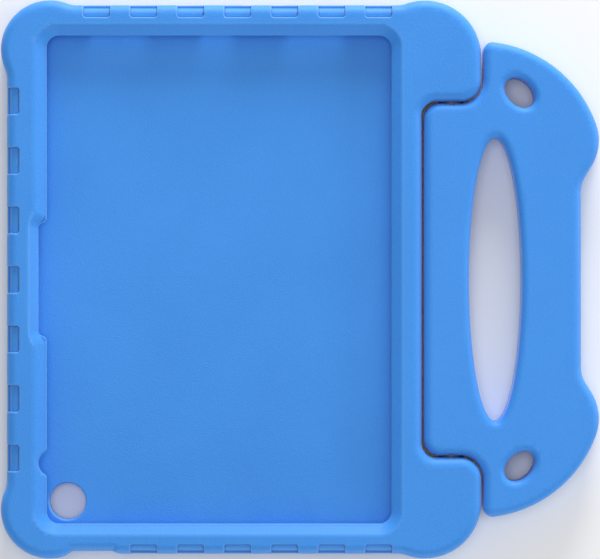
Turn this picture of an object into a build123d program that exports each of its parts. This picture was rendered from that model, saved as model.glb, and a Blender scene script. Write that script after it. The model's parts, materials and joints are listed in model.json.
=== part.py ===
from build123d import *
import os
from math import asin, atan2, cos, pi, sin, sqrt

# A foam tablet case with a folding handle, lying on its back. +Z is out of the screen side, +X points from
# the case to its handle, and +Y runs along the handle. Sizes are in millimetres.
# The origin is on the resting face, under the middle of the whole object.

# ---- driving dimensions ----------------------------------------------------------------------

# tablet that the case is made for
TABLET = (179.5, 248.6, 7.0)
TABLET_PLAY = 0.5  # each side
FACE_PLAY = 0.4  # over its face
TABLET_CORNER = 12.5
TABLET_X = -39.7

# shell
SHELL_THICK = 22.0
FLOOR_THICK = 9.0
SHELL_EDGE = 4.8  # rounding of the outer edges
LEFT_X = -143.6
SIDE_Y = 134.4
BUMP = (-122.5, 112.7, 24.1)  # corner swelling: x, y, radius
TAB_ARC = (61.15, 109.0, 27.7)  # round end of a hinge tab
TAB_CORNER = (78.55, 97.6, 10.3)
NOTCH_CORNER = (66.6, 80.3, 7.0)
BLEND = 12.0  # radius where a swelling runs into a straight side

# front lip
OPEN_X = (-124.2, 44.9)
OPEN_Y = 119.6
OPEN_CORNER = 6.1
RIM_X = (-130.3, 50.0)  # where the slope round the opening meets the front face
RIM_Y = 124.7
RIM_CORNER = 11.7
LIP_EDGE = 1.6  # thickness of the lip at the opening
CAMERA_NOTCH = (4.0, 55.3)  # deeper than the opening, and its length along Y
CAMERA_NOTCH_CORNER = 4.0
THUMB_NOTCH = (-121.7, -90.0, 6.4)

# grip slots
SLOT_LENGTH = 13.0
SLOT_DEPTH = 1.6
SLOT_REACH = 6.2  # how far it runs in over the face
SLOT_REACH_LOWER = 5.0  # the same for the slots of the -Y side
SLOT_DROP = 5.2  # how far it runs down the side
SLOT_PITCH_X = 23.0
SLOT_FIRST_X = -99.5
SLOT_PITCH_Y = 29.1
SLOT_COUNT = 7

# openings in the walls and the back
PORT = (18.0, 5.6)  # length and height
SPEAKER = (30.0, 5.0)
SPEAKER_OFFSET = 48.0
BUTTON_GAP = (20.0, 5.6)
BUTTON_X = -101.5
VOLUME_GAP = (27.0, 5.6)
VOLUME_X = 19.8
SCALLOP_DEPTH = 1.3
SCALLOP_RUN = (5.2, 3.9)  # lengths of its two slopes
LENS_HOLE = 9.0  # radius
LENS_INSET = (15.0, 15.0)  # from the tablet's edges
LENS_FLARE = 2.0

# handle
HANDLE_THICK = 20.0
HANDLE_EDGE = 3.5
HOLE_EDGE = 3.0
GAP = 1.1  # between the shell and the handle
BIG_ARC = (87.6, 55.6, 61.2)
SWELL_ARC = (122.1, 68.2, 24.5)
STAND_X = 137.8  # the straight outer edge
STAND_BLEND = 15.7
STAND_BLEND_Y = 42.6
SHOULDER_CORNER = 4.5
BLOCK_CORNER = 8.0
GRIP = (95.8, 13.0, 69.6)  # x, and half lengths along X and Y
EYE = (107.6, 91.5, 8.5, 6.1)  # x, y, half lengths

# hinge
HINGE_X = 74.3
FOLD = 100.0  # degrees to the back, where the handle comes near the shell's back
FOLD_ROOM = 4.0  # degrees more that the tabs leave free
PIN_R = 3.0
PIN_PLAY = 0.05
PIN_IN_TAB = 13.0
PIN_IN_HANDLE = 15.0
BUSH_R = 6.0
BUSH_WALL_END = 1.5
ANCHOR_FLANGE = (8.0, 1.6)  # radius, thickness
RING_WIDTH = 1.8
RING_R = 3.03
RING_CHAMFER = 0.3
GROOVE_R = 2.2
GROOVE_FROM_FACE = 7.0
WASHER_R = 6.0
WASHER_THICK = 1.0
PIN_CHAMFER = 0.5

# ---- worked-out places -----------------------------------------------------------------------

HINGE_Z = SHELL_THICK / 2
POCKET = (TABLET[0] + 2 * TABLET_PLAY, TABLET[1] + 2 * TABLET_PLAY, TABLET[2] + FACE_PLAY)
POCKET_TOP = FLOOR_THICK + POCKET[2]
POCKET_CORNER = TABLET_CORNER + TABLET_PLAY
TAB_FACE_Y = TAB_CORNER[1] - TAB_CORNER[2]
BLOCK_FACE_Y = TAB_FACE_Y - GAP
NOTCH_X = NOTCH_CORNER[0] - NOTCH_CORNER[2]
BLOCK_X = NOTCH_X + GAP
SHOULDER_X = TAB_CORNER[0] + TAB_CORNER[2] + GAP
WALL_MID_Z = FLOOR_THICK + POCKET[2] / 2
FAR = 60.0  # past everything that a cutter has to clear
NEAR = 1e-3  # points closer than this are one point
DIAGONAL = sqrt(0.5)  # sine and cosine of 45 degrees
HINGE_AXIS = Axis((HINGE_X, 0, HINGE_Z), (0, 1, 0))


def blend_place(arc, edge, radius):
    """Centre distance along an edge from a convex arc to the concave blend that joins it to that edge."""
    return sqrt((arc[2] + radius) ** 2 - (edge + radius - arc[1]) ** 2)


def belt(circles):
    """Closed outline round circles (x, y, radius, side), each joined to the next by a tangent line.

    The outline turns left round a circle of side 1, and right round a circle of side -1.
    """
    count = len(circles)
    headings = []
    for i in range(count):
        x0, y0, r0, s0 = circles[i]
        x1, y1, r1, s1 = circles[(i + 1) % count]
        step = sqrt((x1 - x0) ** 2 + (y1 - y0) ** 2)
        lean = max(-1.0, min(1.0, (s1 * r1 - s0 * r0) / step))
        headings.append(atan2(y1 - y0, x1 - x0) - asin(lean))

    def touch(i, heading):
        x, y, r, s = circles[i]
        return Vector(x + s * r * sin(heading), y - s * r * cos(heading))

    edges = []
    for i in range(count):
        arrive, leave = headings[i - 1], headings[i]
        side = circles[i][3]
        turn = (leave - arrive) * side % (2 * pi) * side
        start, middle, end = (touch(i, arrive + turn * part) for part in (0.0, 0.5, 1.0))
        edges.append(ThreePointArc(start, middle, end))
        following = touch((i + 1) % count, leave)
        if (following - end).length > NEAR:
            edges.append(Line(end, following))
        else:
            edges[-1] = ThreePointArc(start, middle, following)
    return make_face(Wire(edges))


def mirrored(half):
    """The circles of an outline's +Y half, then the same ones on its -Y half, in travelling order."""
    return half + [(x, -y, r, side) for x, y, r, side in reversed(half)]


def shell_outline():
    tab_blend_x = TAB_ARC[0] - blend_place(TAB_ARC, SIDE_Y, BLEND)
    bump_blend_x = BUMP[0] + blend_place(BUMP, SIDE_Y, BLEND)
    left_step = sqrt((BUMP[2] + BLEND) ** 2 - (BUMP[0] - LEFT_X + BLEND) ** 2)
    return belt(mirrored([
        (*NOTCH_CORNER, -1),
        (*TAB_CORNER, 1),
        (*TAB_ARC, 1),
        (tab_blend_x, SIDE_Y + BLEND, BLEND, -1),
        (bump_blend_x, SIDE_Y + BLEND, BLEND, -1),
        (*BUMP, 1),
        (LEFT_X - BLEND, BUMP[1] - left_step, BLEND, -1),
    ]))


def shoulder_circle():
    x = SHOULDER_X + SHOULDER_CORNER
    reach = BIG_ARC[2] - SHOULDER_CORNER
    return (x, BIG_ARC[1] + sqrt(reach**2 - (x - BIG_ARC[0]) ** 2), SHOULDER_CORNER, 1)


def handle_outline():
    return belt(mirrored([
        (STAND_X + STAND_BLEND, STAND_BLEND_Y, STAND_BLEND, -1),
        (*SWELL_ARC, 1),
        (*BIG_ARC, 1),
        shoulder_circle(),
        (TAB_CORNER[0], TAB_CORNER[1], TAB_CORNER[2] + GAP, -1),
        (BLOCK_X + BLOCK_CORNER, BLOCK_FACE_Y - BLOCK_CORNER, BLOCK_CORNER, 1),
    ]))


def rounded_box(x_range, y_range, corner, z):
    width, height = x_range[1] - x_range[0], y_range[1] - y_range[0]
    centre = ((x_range[0] + x_range[1]) / 2, (y_range[0] + y_range[1]) / 2, z)
    return Pos(*centre) * RectangleRounded(width, height, corner)


def flat_edges(solid, z):
    """The edges of a solid that lie in the level plane at z."""
    return solid.edges().filter_by_position(Axis.Z, z - NEAR, z + NEAR)


# ---- shell -----------------------------------------------------------------------------------


def pocket():
    """Room for the tablet, with the opening in front of it and the slope round that opening."""
    half_x, half_y = POCKET[0] / 2, POCKET[1] / 2
    x_range = (TABLET_X - half_x, TABLET_X + half_x)
    bay = extrude(rounded_box(x_range, (-half_y, half_y), POCKET_CORNER, FLOOR_THICK), POCKET[2])
    lip_z = POCKET_TOP + LIP_EDGE
    mouth = extrude(rounded_box(OPEN_X, (-OPEN_Y, OPEN_Y), OPEN_CORNER, WALL_MID_Z), lip_z - WALL_MID_Z)
    slope = loft([
        rounded_box(OPEN_X, (-OPEN_Y, OPEN_Y), OPEN_CORNER, lip_z).face(),
        rounded_box(RIM_X, (-RIM_Y, RIM_Y), RIM_CORNER, SHELL_THICK).face(),
    ])
    return bay + mouth + slope


def camera_notch():
    """A deeper stretch of the opening, in front of the tablet's own camera."""
    deeper, length = CAMERA_NOTCH
    half = length / 2
    lip_z = POCKET_TOP + LIP_EDGE
    inner = (OPEN_X[0] - deeper, TABLET_X)
    outer = (RIM_X[0] - deeper / 2, TABLET_X)
    flare = RIM_Y - OPEN_Y - deeper / 2
    mouth = extrude(rounded_box(inner, (-half, half), CAMERA_NOTCH_CORNER, WALL_MID_Z), lip_z - WALL_MID_Z)
    slope = loft([
        rounded_box(inner, (-half, half), CAMERA_NOTCH_CORNER, lip_z).face(),
        rounded_box(outer, (-half - flare, half + flare), CAMERA_NOTCH_CORNER + flare, SHELL_THICK).face(),
    ])
    return mouth + slope


def thumb_notch():
    x, y, radius = THUMB_NOTCH
    return Pos(x, y, WALL_MID_Z) * extrude(Circle(radius), SHELL_THICK - WALL_MID_Z)


def grip_slot(place, inward, reach, back):
    """A shallow pocket over the edge, SLOT_DEPTH below the rounded surface, at the front or at the back."""
    centre = SHELL_EDGE
    bend = (SHELL_EDGE - SLOT_DEPTH) * DIAGONAL
    line = [
        Line((-SLOT_DEPTH, SLOT_DEPTH), (reach, SLOT_DEPTH)),
        Line((reach, SLOT_DEPTH), (reach, -SLOT_DEPTH)),
        Line((reach, -SLOT_DEPTH), (centre, -SLOT_DEPTH)),
        ThreePointArc((centre, -SLOT_DEPTH), (centre - bend, bend - centre), (SLOT_DEPTH, -centre)),
        Line((SLOT_DEPTH, -centre), (SLOT_DEPTH, -SLOT_DROP)),
        Line((SLOT_DEPTH, -SLOT_DROP), (-SLOT_DEPTH, -SLOT_DROP)),
        Line((-SLOT_DEPTH, -SLOT_DROP), (-SLOT_DEPTH, SLOT_DEPTH)),
    ]
    plane = Plane(origin=place, x_dir=inward, z_dir=Vector(*inward).cross(Vector(0, 0, 1)))
    front = extrude(plane * (Pos(0, SHELL_THICK) * make_face(Wire(line))), SLOT_LENGTH / 2, both=True)
    return mirror(front, Plane.XY.offset(HINGE_Z)) if back else front


def grip_slots():
    slots = []
    for back in (False, True):
        for i in range(SLOT_COUNT):
            x = SLOT_FIRST_X + i * SLOT_PITCH_X
            slots.append(grip_slot((x, SIDE_Y, 0), (0, -1, 0), SLOT_REACH, back))
            if i > 0:
                slots.append(grip_slot((x, -SIDE_Y, 0), (0, 1, 0), SLOT_REACH_LOWER, back))
            y = (i - SLOT_COUNT // 2) * SLOT_PITCH_Y
            slots.append(grip_slot((LEFT_X, y, 0), (1, 0, 0), SLOT_REACH, back))
    return slots


def wall_gap(x, side, size):
    """A round-ended hole through a short wall, centred on the tablet's edge."""
    length, height = size
    inside = TABLET[1] / 2
    plane = Plane(origin=(x, side * inside, WALL_MID_Z), x_dir=(1, 0, 0), z_dir=(0, side, 0))
    return extrude(plane * SlotOverall(length, height), FAR)


def wall_gaps():
    gaps = [
        wall_gap(TABLET_X, 1, PORT),
        wall_gap(BUTTON_X, -1, BUTTON_GAP),
        wall_gap(VOLUME_X, -1, VOLUME_GAP),
    ]
    for offset in (-SPEAKER_OFFSET, SPEAKER_OFFSET):
        gaps.append(wall_gap(TABLET_X + offset, 1, SPEAKER))
    gaps.append(wall_gap(TABLET_X, -1, SPEAKER))
    return gaps


def scallop():
    """A shallow hollow in the wall that brings a fingertip to the button."""
    bottom = SIDE_Y - SCALLOP_DEPTH
    start, end = BUTTON_X - BUTTON_GAP[0] / 2, BUTTON_X + BUTTON_GAP[0] / 2
    run_in, run_out = SCALLOP_RUN
    outline = Polyline(
        (start - run_in, -bottom - run_in),
        (start, -bottom),
        (end, -bottom),
        (end + run_out, -bottom - run_out / 2),
        close=True,
    )
    return extrude(make_face(outline), SHELL_THICK)


def lens_hole():
    x = TABLET_X - TABLET[0] / 2 + LENS_INSET[0]
    y = -TABLET[1] / 2 + LENS_INSET[1]
    hole = Pos(x, y, FLOOR_THICK / 2) * Cylinder(LENS_HOLE, FLOOR_THICK)
    flare = Pos(x, y, LENS_FLARE / 2) * Cone(LENS_HOLE + LENS_FLARE, LENS_HOLE, LENS_FLARE)
    return hole + flare


def hinge_sweep():
    """Room in the tabs' backs for the handle's shoulders, as they turn and where they end up."""
    x, y, radius = TAB_CORNER
    bend = radius * DIAGONAL
    side_x = x + radius
    far_x = HINGE_X + FAR
    end_y = shoulder_circle()[1] + SHOULDER_CORNER
    slant = SHELL_EDGE
    line = [
        Line((x, TAB_FACE_Y), (far_x, TAB_FACE_Y)),
        Line((far_x, TAB_FACE_Y), (far_x, end_y + slant)),
        Line((far_x, end_y + slant), (side_x + slant, end_y + slant)),
        Line((side_x + slant, end_y + slant), (side_x, end_y)),
        Line((side_x, end_y), (side_x, y)),
        ThreePointArc((side_x, y), (x + bend, y - bend), (x, TAB_FACE_Y)),
    ]
    shoulder = Pos(0, 0, HINGE_Z) * make_face(Wire(line))
    turn = FOLD + FOLD_ROOM
    turning = revolve(shoulder, HINGE_AXIS, turn)
    folded = extrude(shoulder, HANDLE_THICK / 2 + GAP, dir=(0, 0, -1)).rotate(HINGE_AXIS, turn)
    sweep = turning + folded
    return [sweep, mirror(sweep, Plane.XZ)]


def bush_hole(side):
    """Where a tab's bush is bonded in."""
    return hinge_rod(BUSH_R, TAB_FACE_Y, TAB_FACE_Y + PIN_IN_TAB + BUSH_WALL_END, side)


def case_shell():
    shell = extrude(shell_outline(), SHELL_THICK)
    shell = fillet(flat_edges(shell, 0) + flat_edges(shell, SHELL_THICK), SHELL_EDGE)
    shell = shell - hinge_sweep()
    shell = shell - [pocket(), camera_notch(), thumb_notch()]
    shell = shell - grip_slots()
    shell = shell - [scallop(), lens_hole()] - wall_gaps()
    return shell - [bush_hole(1), bush_hole(-1)]


# ---- handle ----------------------------------------------------------------------------------


def barrel():
    """The block between the tabs, as it is rounded about the hinge axis towards the back."""
    corner_x = BLOCK_X + BLOCK_CORNER
    corner_y = BLOCK_FACE_Y - BLOCK_CORNER
    bend = BLOCK_CORNER * DIAGONAL
    line = [
        Line((HINGE_X, -BLOCK_FACE_Y), (HINGE_X, BLOCK_FACE_Y)),
        Line((HINGE_X, BLOCK_FACE_Y), (corner_x, BLOCK_FACE_Y)),
        ThreePointArc((corner_x, BLOCK_FACE_Y), (corner_x - bend, corner_y + bend), (BLOCK_X, corner_y)),
        Line((BLOCK_X, corner_y), (BLOCK_X, -corner_y)),
        ThreePointArc((BLOCK_X, -corner_y), (corner_x - bend, -corner_y - bend), (corner_x, -BLOCK_FACE_Y)),
        Line((corner_x, -BLOCK_FACE_Y), (HINGE_X, -BLOCK_FACE_Y)),
    ]
    return revolve(Pos(0, 0, HINGE_Z) * make_face(Wire(line)), HINGE_AXIS, 360)


def handle_holes():
    x, half_x, half_y = GRIP
    holes = [Pos(x, 0) * Ellipse(half_x, half_y)]
    eye_x, eye_y, long_half, short_half = EYE
    for side in (1, -1):
        holes.append(Pos(eye_x, side * eye_y) * Rot(0, 0, -45 * side) * Ellipse(long_half, short_half))
    return holes


def handle_body():
    low = HINGE_Z - HANDLE_THICK / 2
    high = HINGE_Z + HANDLE_THICK / 2
    body = extrude(Pos(0, 0, low) * handle_outline(), HANDLE_THICK)
    body = fillet(flat_edges(body, low) + flat_edges(body, high), HANDLE_EDGE)
    for hole in handle_holes():
        before = set(body.edges())
        body = body - extrude(Pos(0, 0, low) * hole, HANDLE_THICK)
        rims = [edge for edge in flat_edges(body, low) + flat_edges(body, high) if edge not in before]
        body = fillet(rims, HOLE_EDGE)
    behind = Pos(HINGE_X - FAR / 2, 0, HINGE_Z / 2) * Box(FAR, 2 * SIDE_Y, HINGE_Z)
    body = body - (behind - barrel())
    for side in (1, -1):
        depth, flange = BLOCK_FACE_Y - PIN_IN_HANDLE, BLOCK_FACE_Y - ANCHOR_FLANGE[1]
        body = body - hinge_rod(BUSH_R, depth, BLOCK_FACE_Y, side)
        body = body - hinge_rod(ANCHOR_FLANGE[0], flange, BLOCK_FACE_Y, side)
    return body


# ---- hinge hardware --------------------------------------------------------------------------


def hinge_rod(radius, start_y, end_y, side):
    """A cylinder on the hinge axis between two distances from the middle, on the upper or lower side."""
    plane = Plane(origin=(HINGE_X, side * start_y, HINGE_Z), x_dir=(1, 0, 0), z_dir=(0, side, 0))
    return extrude(plane * Circle(radius), end_y - start_y)


def pivot_pin(side):
    start, end = BLOCK_FACE_Y - PIN_IN_HANDLE, TAB_FACE_Y + PIN_IN_TAB
    pin = hinge_rod(PIN_R, start, end, side)
    pin = chamfer(pin.edges().filter_by(GeomType.CIRCLE), PIN_CHAMFER)
    ring_start = TAB_FACE_Y + GROOVE_FROM_FACE
    groove = hinge_rod(BUSH_R, ring_start, ring_start + RING_WIDTH, side)
    return pin - (groove - hinge_rod(GROOVE_R, ring_start, ring_start + RING_WIDTH, side))


def friction_ring(side):
    start = TAB_FACE_Y + GROOVE_FROM_FACE
    ring = hinge_rod(RING_R, start, start + RING_WIDTH, side)
    ring = chamfer(ring.edges().filter_by(GeomType.CIRCLE), RING_CHAMFER)
    return ring - hinge_rod(GROOVE_R, start, start + RING_WIDTH, side)


def tab_socket(side):
    end = TAB_FACE_Y + PIN_IN_TAB
    bush = hinge_rod(BUSH_R, TAB_FACE_Y, end + BUSH_WALL_END, side)
    return bush - hinge_rod(PIN_R + PIN_PLAY, TAB_FACE_Y, end + PIN_CHAMFER, side)


def handle_anchor(side):
    depth, flange = BLOCK_FACE_Y - PIN_IN_HANDLE, BLOCK_FACE_Y - ANCHOR_FLANGE[1]
    anchor = hinge_rod(BUSH_R, depth, BLOCK_FACE_Y, side)
    anchor = anchor + hinge_rod(ANCHOR_FLANGE[0], flange, BLOCK_FACE_Y, side)
    return anchor - hinge_rod(PIN_R, depth, BLOCK_FACE_Y, side)


def thrust_washer(side):
    start = TAB_FACE_Y - WASHER_THICK
    washer = hinge_rod(WASHER_R, start, TAB_FACE_Y, side)
    return washer - hinge_rod(PIN_R + PIN_PLAY * 2, start, TAB_FACE_Y, side)


# ---- output ----------------------------------------------------------------------------------

os.makedirs("parts", exist_ok=True)
export_step(case_shell(), "parts/case_shell.step")
export_step(handle_body(), "parts/handle_body.step")
for side_name, y_side in (("upper", 1), ("lower", -1)):
    for make in (pivot_pin, tab_socket, handle_anchor, thrust_washer, friction_ring):
        export_step(make(y_side), f"parts/{make.__name__}_{side_name}.step")
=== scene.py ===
import json
from math import asin, atan2, cos, pi, radians, sin, sqrt

import bpy
import numpy as np
import openvdb
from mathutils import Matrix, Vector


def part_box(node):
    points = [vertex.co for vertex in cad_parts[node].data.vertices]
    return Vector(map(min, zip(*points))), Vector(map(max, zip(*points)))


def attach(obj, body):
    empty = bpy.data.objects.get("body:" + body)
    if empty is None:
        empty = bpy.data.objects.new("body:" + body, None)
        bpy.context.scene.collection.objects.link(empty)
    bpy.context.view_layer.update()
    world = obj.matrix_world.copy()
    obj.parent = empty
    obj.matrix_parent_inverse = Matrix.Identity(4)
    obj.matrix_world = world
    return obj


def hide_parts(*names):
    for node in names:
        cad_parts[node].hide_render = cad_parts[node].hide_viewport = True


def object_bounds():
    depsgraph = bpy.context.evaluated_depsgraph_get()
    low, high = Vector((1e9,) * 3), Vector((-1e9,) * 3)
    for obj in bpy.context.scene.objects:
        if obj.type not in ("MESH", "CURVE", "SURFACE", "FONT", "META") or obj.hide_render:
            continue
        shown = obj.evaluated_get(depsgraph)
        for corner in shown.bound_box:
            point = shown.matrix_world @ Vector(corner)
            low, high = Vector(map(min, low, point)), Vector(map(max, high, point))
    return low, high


# The looks of a foam tablet case. Both foam mouldings are worked out as distance fields on a fine
# grid, where every edge gets its own soft radius, and are then turned into meshes. Shapes are in
# millimetres in the frame's axes, and become metres when the mesh is made. Materials, lights and
# the camera are in metres.

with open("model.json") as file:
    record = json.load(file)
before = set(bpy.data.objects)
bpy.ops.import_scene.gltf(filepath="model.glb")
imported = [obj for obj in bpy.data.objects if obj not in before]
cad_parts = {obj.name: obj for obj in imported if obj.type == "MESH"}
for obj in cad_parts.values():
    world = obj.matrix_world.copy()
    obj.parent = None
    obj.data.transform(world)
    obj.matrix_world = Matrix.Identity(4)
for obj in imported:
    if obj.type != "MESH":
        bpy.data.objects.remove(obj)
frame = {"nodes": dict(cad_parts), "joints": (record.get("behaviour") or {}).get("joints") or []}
cad_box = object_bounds()
MM = 0.001
joint = frame["joints"][0]
HINGE_X, HINGE_Z = joint["pos_m"][0] / MM, joint["pos_m"][2] / MM


def node_box(name):
    low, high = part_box(name)
    return np.array(low) / MM, np.array(high) / MM


shell_low, shell_high = node_box("case_shell")
handle_low, handle_high = node_box("handle_body")

# ---- driving dimensions ----------------------------------------------------------------------

CELL = 0.45  # grid step of the distance fields
BAND = 4 * CELL  # how far from the surface the fields are kept
SPARE_CELLS = 6  # round a piece's box
MERGE = 0.03  # how readily flat stretches are merged into larger faces
NORMAL_STEP = 0.12  # how far apart a surface's slope is read
BEND_STEP = 0.45  # the same for how sharply it bends
LEAST_SLOPE = 0.3  # of a field, when a point is moved onto its surface
FAR = 1e6  # further than everything
PAST = 1.0  # how far a cut runs past the face that it starts from

# shell: circles of its outline are x, y, radius
THICK = shell_high[2]
SIDE_Y = 134.4
LEFT_X = -143.6
BUMP = (-122.5, 112.7, 24.1)
TAB_ARC = (61.15, 109.0, 27.7)
TAB_CORNER = (78.55, 97.6, 10.3)
NOTCH_CORNER = (66.6, 80.3, 7.0)
BLEND = 12.0
SHELL_EDGE = 4.8
FLOOR = 9.0
TABLET = (-39.7, 90.25, 124.8, 7.4, 13.0)  # bay: middle x, half width, half length, depth, corner
OPENING = (-39.65, 84.55, 119.6, 6.1)  # middle x, half width, half length, corner
RIM = (-40.15, 90.15, 124.7, 11.7)
LIP = 1.6
MOUTH_EDGE = 0.4
BAY_EDGE = 0.3
CAMERA_DEEPER = 4.0
CAMERA_HALF = 27.65
CAMERA_CORNER = 2.5
THUMB = (-121.7, -90.0, 6.4)
THUMB_EDGE = 1.0
LENS = (-114.45, -109.3, 9.0)
LENS_FLARE = 2.0
THROUGH_EDGE = 0.9  # rounding of the holes through the walls and the floor
SLOT_HALF = 6.5
SLOT_DEPTH = 1.6
SLOT_DROP = 5.2
SLOT_REACH = {"top": 6.2, "bottom": 5.0, "left": 6.3}
SLOT_CORNER = 1.4
SLOT_EDGE = 0.5
SLOT_COUNT = 7
SLOT_FIRST_X = -99.5
SLOT_PITCH_X = 23.0
SLOT_PITCH_Y = 29.1
SLOT_ZONE = (130.0, 110.0)  # the slots of a side lie further out than this along X or Y
SLOT_X = [SLOT_FIRST_X + SLOT_PITCH_X * i for i in range(SLOT_COUNT)]
SLOT_Y = [SLOT_PITCH_Y * (i - SLOT_COUNT // 2) for i in range(SLOT_COUNT)]
WALL_GAPS = [  # x, side of the case, length, height
    (-39.7, 1, 18.0, 5.6),
    (-87.7, 1, 30.0, 5.0),
    (8.3, 1, 30.0, 5.0),
    (-101.5, -1, 20.0, 5.6),
    (19.8, -1, 27.0, 5.6),
    (-39.7, -1, 30.0, 5.0),
]
WALL_GAP_START = 4.0  # how far inside the bay's ends the holes begin
SCALLOP = (-111.5, -91.5, 1.3)  # start, end, depth
SCALLOP_LEAN = 0.7  # steepness of its two slopes
SCALLOP_EDGE = 1.5

# handle
GAP = 1.1
BIG_ARC = (87.6, 55.6, 61.2)
SWELL_ARC = (122.1, 68.2, 24.5)
STAND = (137.8, 42.6, 15.7)  # x of the straight edge, end of it, blend radius
SHOULDER_CORNER = 4.5
BLOCK_CORNER = 8.0
GRIP = (95.8, 13.0, 69.6)
EYE = (107.6, 91.5, 8.5, 6.1)
HANDLE_EDGE = 4.2
HOLE_EDGE = 3.4

# hinge
TAB_FACE = TAB_CORNER[1] - TAB_CORNER[2]
BLOCK_FACE = TAB_FACE - GAP
BLOCK_X = NOTCH_CORNER[0] - NOTCH_CORNER[2] + GAP
HANDLE_HALF = 10.0
BUSH = (6.0, 14.5)  # radius, length
ANCHOR = (6.0, 15.0)
FLANGE = (8.0, 1.6)
FOLD = radians(104.0)  # how far the tabs leave room for the handle to turn
FOLD_EDGE = 1.0


# ---- outlines --------------------------------------------------------------------------------


def mirrored(half):
    return half + [(x, -y, r, side) for x, y, r, side in reversed(half)]


def shell_circles():
    def along(arc):
        return sqrt((arc[2] + BLEND) ** 2 - (SIDE_Y + BLEND - arc[1]) ** 2)

    down = sqrt((BUMP[2] + BLEND) ** 2 - (BUMP[0] - LEFT_X + BLEND) ** 2)
    return mirrored([
        (*NOTCH_CORNER, -1),
        (*TAB_CORNER, 1),
        (*TAB_ARC, 1),
        (TAB_ARC[0] - along(TAB_ARC), SIDE_Y + BLEND, BLEND, -1),
        (BUMP[0] + along(BUMP), SIDE_Y + BLEND, BLEND, -1),
        (*BUMP, 1),
        (LEFT_X - BLEND, BUMP[1] - down, BLEND, -1),
    ])


def shoulder():
    x = TAB_CORNER[0] + TAB_CORNER[2] + GAP + SHOULDER_CORNER
    return x, BIG_ARC[1] + sqrt((BIG_ARC[2] - SHOULDER_CORNER) ** 2 - (x - BIG_ARC[0]) ** 2)


def handle_circles():
    return mirrored([
        (STAND[0] + STAND[2], STAND[1], STAND[2], -1),
        (*SWELL_ARC, 1),
        (*BIG_ARC, 1),
        (*shoulder(), SHOULDER_CORNER, 1),
        (TAB_CORNER[0], TAB_CORNER[1], TAB_CORNER[2] + GAP, -1),
        (BLOCK_X + BLOCK_CORNER, BLOCK_FACE - BLOCK_CORNER, BLOCK_CORNER, 1),
    ])


def outline_distance(x, y, circles):
    """Distance to a closed outline of circles joined by tangent lines: negative inside.

    A circle is x, y, radius, side. The outline runs anticlockwise, turning left round circles of side 1.
    """
    count = len(circles)
    headings = []
    for i in range(count):
        x0, y0, r0, s0 = circles[i]
        x1, y1, r1, s1 = circles[(i + 1) % count]
        lean = (s1 * r1 - s0 * r0) / sqrt((x1 - x0) ** 2 + (y1 - y0) ** 2)
        headings.append(atan2(y1 - y0, x1 - x0) - asin(max(-1.0, min(1.0, lean))))

    def touch(i, heading):
        cx, cy, r, s = circles[i]
        return cx + s * r * sin(heading), cy - s * r * cos(heading)

    best = np.full(np.broadcast(x, y).shape, FAR, dtype=np.float32)
    for i in range(count):
        cx, cy, r, s = circles[i]
        arrive, leave = headings[i - 1], headings[i]
        turn = (leave - arrive) * s % (2 * pi)
        middle = arrive + s * turn / 2
        out = np.hypot(x - cx, y - cy) + 1e-9
        facing = s * ((x - cx) * sin(middle) - (y - cy) * cos(middle)) / out
        away = s * (out - r)
        best = np.where((facing >= cos(turn / 2)) & (np.abs(away) < np.abs(best)), away, best)
        ax, ay = touch(i, leave)
        bx, by = touch((i + 1) % count, leave)
        length = sqrt((bx - ax) ** 2 + (by - ay) ** 2)
        dx, dy = cos(leave), sin(leave)
        run = np.clip((x - ax) * dx + (y - ay) * dy, 0, length)
        far = np.hypot(x - ax - run * dx, y - ay - run * dy)
        outside = (x - ax) * dy - (y - ay) * dx > 0
        best = np.where(far < np.abs(best), np.where(outside, far, -far), best)
    return best


def box_distance(x, y, middle_x, half_x, half_y, corner):
    """Distance to an upright rounded rectangle that is centred on y = 0."""
    qx, qy = np.abs(x - middle_x) - half_x + corner, np.abs(y) - half_y + corner
    return np.hypot(np.maximum(qx, 0), np.maximum(qy, 0)) + np.minimum(np.maximum(qx, qy), 0) - corner


def ellipse_distance(x, y, half_x, half_y):
    """Nearly the distance to an ellipse, and exact on it."""
    near = np.hypot(x / half_x, y / half_y)
    slope = np.hypot(x / half_x**2, y / half_y**2) + 1e-6
    return near * (near - 1) / slope


def both(a, b, radius=0.0):
    """What is inside two shapes, with the edge between them rounded."""
    if radius == 0:
        return np.maximum(a, b)
    corner = np.hypot(np.maximum(a + radius, 0), np.maximum(b + radius, 0))
    return np.minimum(np.maximum(a, b), -radius) + corner


def either(a, b, radius=0.0):
    """What is inside one shape or the other, with the corner between them filled."""
    return -both(-a, -b, radius)


def without(a, b, radius=0.0):
    """What is inside the first shape and outside the second, with the edge between them rounded."""
    return both(a, -b, radius)


# ---- meshes from distance fields -------------------------------------------------------------


class Grid:
    """A box of points in millimetres. x, y and z broadcast to its whole shape."""

    def __init__(self, low, high):
        ends = list(zip(low, high))
        counts = [int(np.ceil((last - first) / CELL)) + SPARE_CELLS for first, last in ends]
        self.start = np.array([(last + first - n * CELL) / 2 for (first, last), n in zip(ends, counts)])
        axes = [s + CELL * np.arange(n + 1, dtype=np.float32) for s, n in zip(self.start, counts)]
        self.x = axes[0][:, None, None]
        self.y = axes[1][None, :, None]
        self.z = axes[2][None, None, :]


class Points:
    """Loose points in millimetres, for the same shape functions as a grid."""

    def __init__(self, places):
        self.x, self.y, self.z = places.T


def probe(shape, places, step):
    """A shape's field at places, its slope and its bend, from points a step away along each axis."""
    value = shape(Points(places))
    ahead = [shape(Points(places + step * axis)) for axis in np.eye(3)]
    back = [shape(Points(places - step * axis)) for axis in np.eye(3)]
    slope = np.stack([(a - b) / (2 * step) for a, b in zip(ahead, back)], axis=1)
    bend = (sum(ahead) + sum(back) - 6 * value) / step**2
    return value, slope, bend


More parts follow.
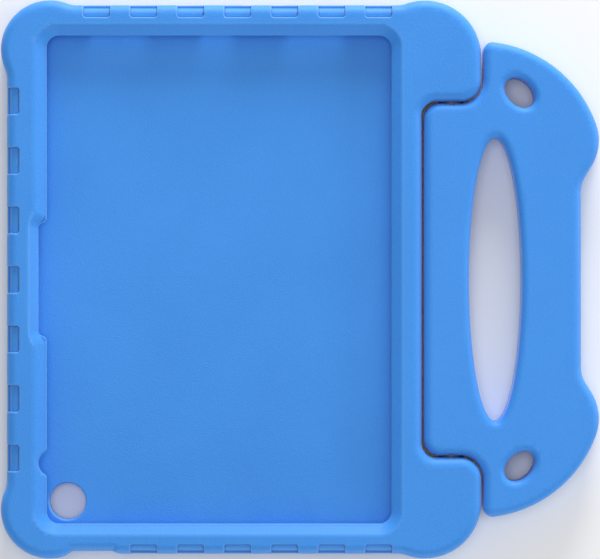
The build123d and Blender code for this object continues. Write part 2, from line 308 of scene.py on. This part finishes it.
def mesh_of(name, shape, low, high):
    """A smooth-shaded mesh of a shape, with how far each point stands out or in as "bend"."""
    grid = Grid(low, high)
    volume = openvdb.FloatGrid()
    volume.copyFromArray(np.clip(shape(grid), -BAND, BAND).astype(np.float32))
    points, triangles, quads = volume.convertToPolygons(isovalue=0.0, adaptivity=MERGE)
    places = points * CELL + grid.start
    for _ in range(2):
        value, slope, _ = probe(shape, places, NORMAL_STEP)
        steep = np.maximum(np.linalg.norm(slope, axis=1), LEAST_SLOPE)
        places -= slope * np.clip(value / steep**2, -CELL / 2, CELL / 2)[:, None]
    _, slope, _ = probe(shape, places, NORMAL_STEP)
    normals = slope / np.linalg.norm(slope, axis=1)[:, None]
    _, _, bend = probe(shape, places, BEND_STEP)
    mesh = bpy.data.meshes.new(name)
    mesh.from_pydata((places * MM).tolist(), [], triangles.tolist() + quads.tolist())
    mesh.shade_smooth()
    mesh.normals_split_custom_set_from_vertices(normals.tolist())
    attribute = mesh.attributes.new("bend", "FLOAT", "POINT")
    attribute.data.foreach_set("value", bend.astype(np.float32))
    piece = bpy.data.objects.new(name, mesh)
    bpy.context.scene.collection.objects.link(piece)
    return piece


# ---- shell -----------------------------------------------------------------------------------


def room_for_handle(g):
    """Where the tabs' outline has to stay as the handle's shoulders turn past their backs.

    Each point is turned with the handle to where the handle first meets it, and compared with the
    tab there. The field is negative inside.
    """
    away_x, away_z = g.x - HINGE_X, g.z - HINGE_Z
    fold = np.clip(-np.arctan2(away_z, away_x), 0, FOLD)
    met_x = away_x * np.cos(fold) - away_z * np.sin(fold)
    met_z = away_x * np.sin(fold) + away_z * np.cos(fold)
    corner_x, _, corner = TAB_CORNER
    end_y = shoulder()[1] + SHOULDER_CORNER
    tab = both(HINGE_X + met_x - corner_x - corner, TAB_FACE - np.abs(g.y), corner)
    tab = tab - np.maximum(np.abs(g.y) - end_y, 0)
    room = either(tab, HANDLE_HALF + GAP - np.abs(met_z), FOLD_EDGE)
    return np.minimum(room, HINGE_X + met_x - corner_x)


def opening_cut(g):
    """The tablet's bay, the opening in front of it, the slope round that, and the two notches."""
    middle, half_x, half_y, depth, corner = TABLET
    plan = box_distance(g.x, g.y, middle, half_x, half_y, corner)
    bay = both(plan, np.abs(g.z - FLOOR - depth / 2) - depth / 2)
    lip_z = FLOOR + depth + LIP
    rise = (g.z - lip_z) / (THICK - lip_z)
    lean = (THICK - lip_z) / np.hypot(THICK - lip_z, RIM[2] - OPENING[2])

    def flared(low, high):
        level = [a + (b - a) * np.maximum(rise, 0) for a, b in zip(low, high)]
        return box_distance(g.x, g.y, *level) * np.where(rise > 0, lean, 1)

    def notch(rim, deeper, half_y, corner):
        left, right = rim[0] - rim[1] - deeper, rim[0]
        return (left + right) / 2, (right - left) / 2, half_y, corner

    notch_low = notch(OPENING, CAMERA_DEEPER, CAMERA_HALF, CAMERA_CORNER)
    notch_high = notch(RIM, CAMERA_DEEPER / 2, CAMERA_HALF + CAMERA_CORNER, 2 * CAMERA_CORNER)
    mouth = either(flared(OPENING, RIM), flared(notch_low, notch_high), CAMERA_CORNER)
    thumb = np.hypot(g.x - THUMB[0], g.y - THUMB[1]) - THUMB[2]
    mouth = both(either(mouth, thumb, THUMB_EDGE), FLOOR + depth / 2 - g.z)
    return bay, mouth


def slot_cut(g, body, plan):
    """Pockets over the outer edges, front and back, a slot's depth below the rounded surface."""
    pockets = None
    for side, places, within in (
        ("top", SLOT_X, SLOT_ZONE[1] - g.y),
        ("bottom", SLOT_X[1:], SLOT_ZONE[1] + g.y),
        ("left", SLOT_Y, SLOT_ZONE[0] + g.x),
    ):
        along = g.y if side == "left" else g.x
        along = np.min([np.abs(along - p) for p in places], axis=0) - SLOT_HALF
        pocket = both(both(along, -plan - SLOT_REACH[side], SLOT_CORNER), within)
        pockets = pocket if pockets is None else np.minimum(pockets, pocket)
    depth = both(THICK / 2 - SLOT_DROP - np.abs(g.z - THICK / 2), -body - SLOT_DEPTH)
    return both(pockets, depth)


def wall_cut(g):
    """Round-ended holes through the short walls, for the plug, the sound and the buttons."""
    sides = []
    for side in (1, -1):
        holes = None
        for x, _, length, height in [gap for gap in WALL_GAPS if gap[1] == side]:
            radius = height / 2
            along = np.maximum(np.abs(g.x - x) - length / 2 + radius, 0)
            hole = np.hypot(along, g.z - FLOOR - TABLET[3] / 2) - radius
            holes = hole if holes is None else np.minimum(holes, hole)
        sides.append(both(holes, TABLET[2] - WALL_GAP_START - side * g.y))
    return np.minimum(*sides)


def lens_cut(g):
    out = np.hypot(g.x - LENS[0], g.y - LENS[1]) - LENS[2]
    return both(out - np.maximum(LENS_FLARE - g.z, 0), g.z - FLOOR - 2 * PAST)


def rod(g, radius, start, end):
    """Cylinders on the hinge axis, between two distances either side of the middle."""
    middle, half = (start + end) / 2, (end - start) / 2
    return both(np.hypot(g.x - HINGE_X, g.z - HINGE_Z) - radius, np.abs(np.abs(g.y) - middle) - half)


def scallop_cut(g):
    """Plan shape of the hollow at the button."""
    start, end, depth = SCALLOP
    bottom = g.y + SIDE_Y - depth
    return both(bottom, both((start - g.x + bottom) * SCALLOP_LEAN, (g.x - end + bottom) * SCALLOP_LEAN))


def shell_shape(g):
    outline = outline_distance(g.x, g.y, shell_circles())
    outline = without(outline, scallop_cut(g), SCALLOP_EDGE)
    plan = np.maximum(outline, room_for_handle(g))
    body = both(plan, np.abs(g.z - THICK / 2) - THICK / 2, SHELL_EDGE)
    bay, mouth = opening_cut(g)
    body = without(body, slot_cut(g, body, outline), SLOT_EDGE)
    body = without(body, mouth, MOUTH_EDGE)
    body = without(body, bay, BAY_EDGE)
    body = without(body, wall_cut(g), THROUGH_EDGE)
    body = without(body, lens_cut(g), THROUGH_EDGE)
    return without(body, rod(g, BUSH[0], TAB_FACE - PAST, TAB_FACE + BUSH[1]))


def make_shell():
    piece = mesh_of("foam_shell", shell_shape, shell_low, shell_high)
    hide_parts("case_shell")
    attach(piece, "case")
    return piece


# ---- handle ----------------------------------------------------------------------------------


def handle_shape(g):
    plan = outline_distance(g.x, g.y, handle_circles())
    from_axis = np.hypot(g.x - HINGE_X, np.minimum(g.z - HINGE_Z, 0))
    block = both(BLOCK_X - HINGE_X + from_axis, np.abs(g.y) - BLOCK_FACE, BLOCK_CORNER)
    plan = np.where(g.x < HINGE_X, block, plan)
    body = both(plan, np.abs(g.z - HINGE_Z) - HANDLE_HALF, HANDLE_EDGE)
    body = without(body, ellipse_distance(g.x - GRIP[0], g.y, GRIP[1], GRIP[2]), HOLE_EDGE)
    away_x, away_y = g.x - EYE[0], np.abs(g.y) - EYE[1]
    long_way, short_way = (away_x - away_y) / sqrt(2), (away_x + away_y) / sqrt(2)
    body = without(body, ellipse_distance(long_way, short_way, EYE[2], EYE[3]), HOLE_EDGE)
    body = without(body, rod(g, ANCHOR[0], BLOCK_FACE - ANCHOR[1], BLOCK_FACE + PAST))
    return without(body, rod(g, FLANGE[0], BLOCK_FACE - FLANGE[1], BLOCK_FACE + PAST))


def make_handle():
    piece = mesh_of("foam_handle", handle_shape, handle_low, handle_high)
    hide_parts("handle_body")
    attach(piece, "handle")
    return piece


# ---- materials -------------------------------------------------------------------------------


class Material:
    """A node material with short ways to add and join its nodes."""

    def __init__(self, name):
        self.data = bpy.data.materials.new(name)
        self.data.use_nodes = True
        self.tree = self.data.node_tree
        self.shader = self.tree.nodes["Principled BSDF"]
        self.place = self.add("ShaderNodeTexCoord").outputs["Object"]

    def add(self, kind, **values):
        node = self.tree.nodes.new(kind)
        for key, value in values.items():
            if hasattr(node, key):
                setattr(node, key, value)
            else:
                node.inputs[key.replace("_", " ")].default_value = value
        return node

    def join(self, output, target):
        self.tree.links.new(output, target)

    def noise(self, scale, detail=2.0, roughness=0.5):
        node = self.add("ShaderNodeTexNoise", Scale=scale, Detail=detail, Roughness=roughness)
        self.join(self.place, node.inputs["Vector"])
        return node.outputs["Fac"]

    def remap(self, value, low, high, out_low, out_high):
        node = self.add("ShaderNodeMapRange", From_Min=low, From_Max=high, To_Min=out_low, To_Max=out_high)
        self.join(value, node.inputs["Value"])
        return node.outputs["Result"]

    def mix(self, factor, first, second):
        node = self.add("ShaderNodeMix", data_type="RGBA")
        sockets = {s.identifier: s for s in node.inputs}
        self.join(factor, sockets["Factor_Float"])
        for key, value in (("A_Color", first), ("B_Color", second)):
            if isinstance(value, tuple):
                sockets[key].default_value = (*value, 1.0)
            else:
                self.join(value, sockets[key])
        return next(s for s in node.outputs if s.identifier == "Result_Color")

    def bump(self, heights):
        """Bumps stacked from (height, depth in metres) pairs."""
        normal = None
        for height, depth in heights:
            node = self.add("ShaderNodeBump", Distance=depth)
            self.join(height, node.inputs["Height"])
            if normal is not None:
                self.join(normal, node.inputs["Normal"])
            normal = node.outputs["Normal"]
        self.join(normal, self.shader.inputs["Normal"])


# Paler blue for the grain's flecks and for convex edges, where it is partly wear and partly a painted
# highlight.
WORN_AND_HIGHLIGHT_BLUE = (0.14, 0.42, 0.90)
SHELL_BLUES = ((0.018, 0.240, 0.75), (0.022, 0.258, 0.79), WORN_AND_HIGHLIGHT_BLUE)  # deep, pale, worn and painted highlight
HANDLE_BLUES = ((0.019, 0.242, 0.76), (0.023, 0.260, 0.80), WORN_AND_HIGHLIGHT_BLUE)
CREASE_SHADE = 0.35  # of the deep blue, for the painted shade in creases
PALER = 1.25  # of a plastic's colour, where it is cloudy


def foam_material(name, deep, pale, worn_and_highlight):
    """Skinned foam: mottled, with a fine grain, paler on convex edges as partly wear and partly painted
    highlight, and with painted shade darkening its crevices.
    """
    m = Material(name)
    mottle = m.noise(22.0, 3.0)
    grain = m.noise(1900.0, 2.0, 0.6)
    cells = m.add("ShaderNodeTexVoronoi", Scale=1300.0)
    m.join(m.place, cells.inputs["Vector"])
    bend = m.add("ShaderNodeAttribute", attribute_name="bend").outputs["Fac"]
    colour = m.mix(m.remap(mottle, 0.3, 0.7, 0, 1), deep, pale)
    colour = m.mix(m.remap(grain, 0.45, 0.8, 0, 0.35), colour, worn_and_highlight)
    # Convex edges paler: partly wear, partly a painted highlight.
    colour = m.mix(m.remap(bend, 0.25, 1.6, 0, 0.35), colour, worn_and_highlight)
    # Concave creases darker: painted shade where ambient light is blocked.
    colour = m.mix(m.remap(bend, -0.3, -1.8, 0, 0.7), colour, tuple(c * CREASE_SHADE for c in deep))
    m.join(colour, m.shader.inputs["Base Color"])
    m.join(m.remap(grain, 0.3, 0.7, 0.5, 0.68), m.shader.inputs["Roughness"])
    m.bump([(cells.outputs["Distance"], 0.00006), (grain, 0.00005), (m.noise(160.0, 2.0), 0.00008)])
    m.shader.inputs["Sheen Weight"].default_value = 0.22
    m.shader.inputs["Sheen Roughness"].default_value = 0.5
    m.shader.inputs["Specular IOR Level"].default_value = 0.5
    return m.data


def plastic_material(name, colour, rough):
    m = Material(name)
    cloud = m.noise(300.0, 3.0)
    paler = tuple(c * PALER for c in colour)
    m.join(m.mix(m.remap(cloud, 0.3, 0.7, 0, 1), colour, paler), m.shader.inputs["Base Color"])
    m.join(m.remap(cloud, 0.3, 0.7, rough - 0.06, rough + 0.06), m.shader.inputs["Roughness"])
    m.bump([(m.noise(2400.0), 0.00002)])
    return m.data


def steel_material(name):
    m = Material(name)
    stretch = m.add("ShaderNodeMapping", Scale=(1, 60, 1))
    m.join(m.place, stretch.inputs["Vector"])
    m.place = stretch.outputs["Vector"]
    turned = m.noise(220.0, 4.0)
    m.join(m.mix(turned, (0.52, 0.52, 0.54), (0.66, 0.66, 0.68)), m.shader.inputs["Base Color"])
    m.join(m.remap(turned, 0.3, 0.7, 0.22, 0.4), m.shader.inputs["Roughness"])
    m.shader.inputs["Metallic"].default_value = 1.0
    m.bump([(turned, 0.00001)])
    return m.data


def floor_material():
    m = Material("floor_paper")
    cloud = m.noise(6.0, 2.0)
    m.join(m.mix(cloud, (0.9, 0.9, 0.9), (0.92, 0.92, 0.92)), m.shader.inputs["Base Color"])
    m.shader.inputs["Roughness"].default_value = 0.8
    return m.data


def dress_hardware():
    """Gives the hinge hardware, which keeps its CAD shape, its materials."""
    finishes = {
        "pivot_pin": steel_material("pin_steel_turned"),
        "tab_socket": plastic_material("bush_nylon", (0.035, 0.12, 0.36), 0.42),
        "handle_anchor": plastic_material("anchor_nylon", (0.02, 0.07, 0.22), 0.5),
        "thrust_washer": plastic_material("washer_acetal", (0.02, 0.06, 0.18), 0.5),
        "friction_ring": plastic_material("ring_rubber_black", (0.02, 0.02, 0.022), 0.7),
    }
    for name, node in frame["nodes"].items():
        for start, material in finishes.items():
            if name.startswith(start):
                for slot in node.material_slots:
                    slot.material = material


# ---- floor, lights and camera ----------------------------------------------------------------

FLOOR_HALF = 6.0
FLOOR_DROP = 0.0003  # below the case, so that the two faces don't share a plane
LIGHTS = [  # name, place, diameter, watts
    ("far_side", (0.2, 1.7, 0.5), 0.8, 30.0),
    ("handle_side", (1.7, 0.2, 0.5), 0.8, 10.5),
    ("near_side", (0.0, -1.7, 0.35), 0.6, 7.0),
    ("overhead", (-0.1, 0.1, 2.6), 1.4, 16.0),
]
AMBIENT = 0.4
LENS_MM = 200.0
SENSOR_MM = 36.0
MARGIN = 1.003  # the picture's width over the case's


def make_floor():
    mesh = bpy.data.meshes.new("floor")
    signs = ((-1, -1), (1, -1), (1, 1), (-1, 1))
    corners = [(FLOOR_HALF * x, FLOOR_HALF * y, -FLOOR_DROP) for x, y in signs]
    mesh.from_pydata(corners, [], [(0, 1, 2, 3)])
    mesh.materials.append(floor_material())
    floor = bpy.data.objects.new("floor", mesh)
    bpy.context.scene.collection.objects.link(floor)


def make_light(name, place, size, power):
    data = bpy.data.lights.new(name, "AREA")
    data.shape = "DISK"
    data.size = size
    data.energy = power
    lamp = bpy.data.objects.new(name, data)
    lamp.location = place
    lamp.rotation_mode = "QUATERNION"
    lamp.rotation_quaternion = lamp.location.to_track_quat("Z", "Y")
    bpy.context.scene.collection.objects.link(lamp)


def make_camera():
    """Straight above the case through a long lens, with the whole case just filling the picture."""
    data = bpy.data.cameras.new("camera")
    data.lens = LENS_MM
    data.sensor_width = SENSOR_MM
    width = (cad_box[1][0] - cad_box[0][0]) * MARGIN
    away = width * data.lens / data.sensor_width
    camera = bpy.data.objects.new("camera", data)
    camera.location = (0.0, 0.0, (THICK - SHELL_EDGE) * MM + away)
    bpy.context.scene.collection.objects.link(camera)
    bpy.context.scene.camera = camera


def make_world():
    world = bpy.data.worlds.new("studio")
    world.use_nodes = True
    background = world.node_tree.nodes["Background"]
    background.inputs["Color"].default_value = (1.0, 1.0, 1.0, 1.0)
    background.inputs["Strength"].default_value = AMBIENT
    bpy.context.scene.world = world
    bpy.context.scene.view_settings.view_transform = "Standard"


shell = make_shell()
handle = make_handle()
shell.data.materials.append(foam_material("shell_eva", *SHELL_BLUES))
handle.data.materials.append(foam_material("handle_eva", *HANDLE_BLUES))
dress_hardware()
make_floor()
for light in LIGHTS:
    make_light(*light)
make_world()
make_camera()
